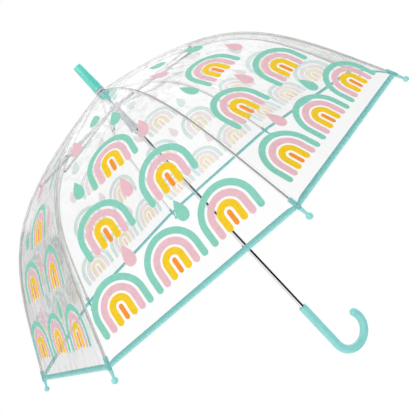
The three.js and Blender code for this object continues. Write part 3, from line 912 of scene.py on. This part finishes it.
FLOOR_Z, FLOOR_RADIUS, FLOOR_SIDES, FADE_START = -0.62, 3.2, 96, 0.3


def floor():
    """A plain pale floor that fades out towards its edge and isn't seen in reflections."""
    n = Nodes(bpy.data.materials.new("pale_floor"))
    shader = n.add("ShaderNodeBsdfPrincipled")
    pattern = n.noise(6.0)
    n.join(n.ramp(pattern, (0.93, 0.93, 0.935, 1), (0.95, 0.95, 0.95, 1)), shader.inputs["Base Color"])
    shader.inputs["Roughness"].default_value = 0.7
    clear = n.add("ShaderNodeBsdfTransparent")
    place = n.add("ShaderNodeTexCoord")
    length = n.add("ShaderNodeVectorMath", operation="LENGTH")
    n.join(place.outputs["Object"], length.inputs[0])
    fade = n.add("ShaderNodeMapRange", interpolation_type="SMOOTHSTEP")
    fade.inputs["From Min"].default_value = FADE_START
    fade.inputs["From Max"].default_value = FLOOR_RADIUS * 0.9
    n.join(length.outputs["Value"], fade.inputs["Value"])
    mix = n.add("ShaderNodeMixShader")
    n.join(fade.outputs[0], mix.inputs[0])
    n.join(shader.outputs[0], mix.inputs[1])
    n.join(clear.outputs[0], mix.inputs[2])
    n.join(mix.outputs[0], n.out.inputs[0])
    turns = np.linspace(0, 2 * math.pi, FLOOR_SIDES + 1)[:-1]
    ring = [(FLOOR_RADIUS * math.cos(t), FLOOR_RADIUS * math.sin(t), 0) for t in turns]
    obj = new_mesh("floor", ring, [tuple(range(FLOOR_SIDES))], n.owner, smooth=False)
    obj.location.z = FLOOR_Z
    obj.visible_glossy = False


floor()

# What reflections show beside white, by azimuth in degrees. The strip's half widths are shares of a half
# turn, and the screen's heights are parts of a direction's rise.
STRIP_AZIMUTH, STRIP_DARK_HALF, STRIP_HALF = -58, 0.23, 0.30
SCREEN_AZIMUTH, SCREEN_SPREAD, SCREEN_DEPTH = 104, 32, 0.88
SCREEN_RISE, SCREEN_HALF_RISE = 0.3, 0.2


def studio_world():
    """White where the camera sees it, with light from a soft pale dome. Only reflections show a dark strip,
    which draws the steel's edges, and a grey screen, which greys one side of the film."""
    world = bpy.data.worlds.new("studio")
    scene.world = world
    n = Nodes(world, "ShaderNodeOutputWorld")
    seen, lit, shine = (n.add("ShaderNodeBackground") for _ in range(3))
    seen.inputs[0].default_value = (1, 1, 1, 1)
    place = n.add("ShaderNodeTexCoord")
    parts = n.add("ShaderNodeSeparateXYZ")
    n.join(place.outputs["Generated"], parts.inputs[0])
    level = n.math("MULTIPLY", n.math("ADD", parts.outputs[2], 1.0), 0.5)
    dome = n.ramp(level, (0.97, 0.98, 1.0, 1), (1.0, 1.0, 1.0, 1), 0.3, 0.75)
    n.join(dome, lit.inputs[0])
    lit.inputs[1].default_value = 0.98
    turn = n.math("ARCTAN2", parts.outputs[1], parts.outputs[0])
    away = n.math("ABSOLUTE", n.math("SUBTRACT", turn, math.radians(STRIP_AZIMUTH)))
    away = n.math("DIVIDE", away, math.pi)
    strip = n.ramp(away, (0.0, 0.0, 0.0, 1), (0.97, 0.97, 0.98, 1), STRIP_DARK_HALF, STRIP_HALF)
    n.join(strip, shine.inputs[0])
    beside = n.math("ABSOLUTE", n.math("SUBTRACT", turn, math.radians(SCREEN_AZIMUTH)))
    beside = n.math("SUBTRACT", 1.5, n.math("DIVIDE", beside, math.radians(SCREEN_SPREAD)), clamp=True)
    low = n.math("ABSOLUTE", n.math("SUBTRACT", parts.outputs[2], SCREEN_RISE))
    low = n.math("SUBTRACT", 1.6, n.math("DIVIDE", low, SCREEN_HALF_RISE), clamp=True)
    screen = n.math("MULTIPLY", n.math("MULTIPLY", beside, low), SCREEN_DEPTH)
    n.join(n.math("SUBTRACT", 1.0, screen), shine.inputs[1])
    path = n.add("ShaderNodeLightPath")
    glossy, camera_ray = n.add("ShaderNodeMixShader"), n.add("ShaderNodeMixShader")
    n.join(path.outputs["Is Glossy Ray"], glossy.inputs[0])
    n.join(lit.outputs[0], glossy.inputs[1])
    n.join(shine.outputs[0], glossy.inputs[2])
    n.join(path.outputs["Is Camera Ray"], camera_ray.inputs[0])
    n.join(glossy.outputs[0], camera_ray.inputs[1])
    n.join(seen.outputs[0], camera_ray.inputs[2])
    n.join(camera_ray.outputs[0], n.out.inputs[0])


studio_world()


def area_light(name, place, target, size, power):
    data = bpy.data.lights.new(name, "AREA")
    data.shape, data.size, data.energy = "DISK", size, power
    obj = bpy.data.objects.new(name, data)
    obj.location = place
    obj.rotation_mode = "QUATERNION"
    obj.rotation_quaternion = (Vector(target) - Vector(place)).to_track_quat("-Z", "Y")
    scene.collection.objects.link(obj)


area_light("key", (-1.6, -1.4, 2.0), (0, 0, 0.3), size=3.0, power=15)
area_light("fill", (2.2, 0.7, 1.2), (0, 0, 0.2), size=2.5, power=10)
area_light("back", (0.4, 1.9, 1.4), (0, 0, 0.4), size=2.5, power=8)

LENS, SENSOR = 49.699038, 36  # millimetres
SHIFT_X, SHIFT_Y = -0.079086538, -0.024759615  # shares of the picture's width
CAMERA_PLACE = (-0.3064, -0.8969, 0.4349)
RIGHT, DOWN = Vector((0.6377, -0.3863, -0.6664)), Vector((-0.6774, 0.1305, -0.7239))
camera = bpy.data.objects.new("camera", bpy.data.cameras.new("camera"))
scene.collection.objects.link(camera)
right = RIGHT.normalized()
up = -(DOWN - DOWN.dot(right) * right).normalized()
back = right.cross(up)
turned = Matrix((right, up, back)).transposed().to_4x4()
camera.matrix_world = Matrix.Translation(CAMERA_PLACE) @ turned
camera.data.sensor_width, camera.data.lens = SENSOR, LENS
camera.data.shift_x, camera.data.shift_y = SHIFT_X, SHIFT_Y
camera.data.clip_start = 0.01
scene.camera = camera
scene.view_settings.view_transform = "Standard"
scene.cycles.transparent_max_bounces = 48
scene.cycles.max_bounces = 10
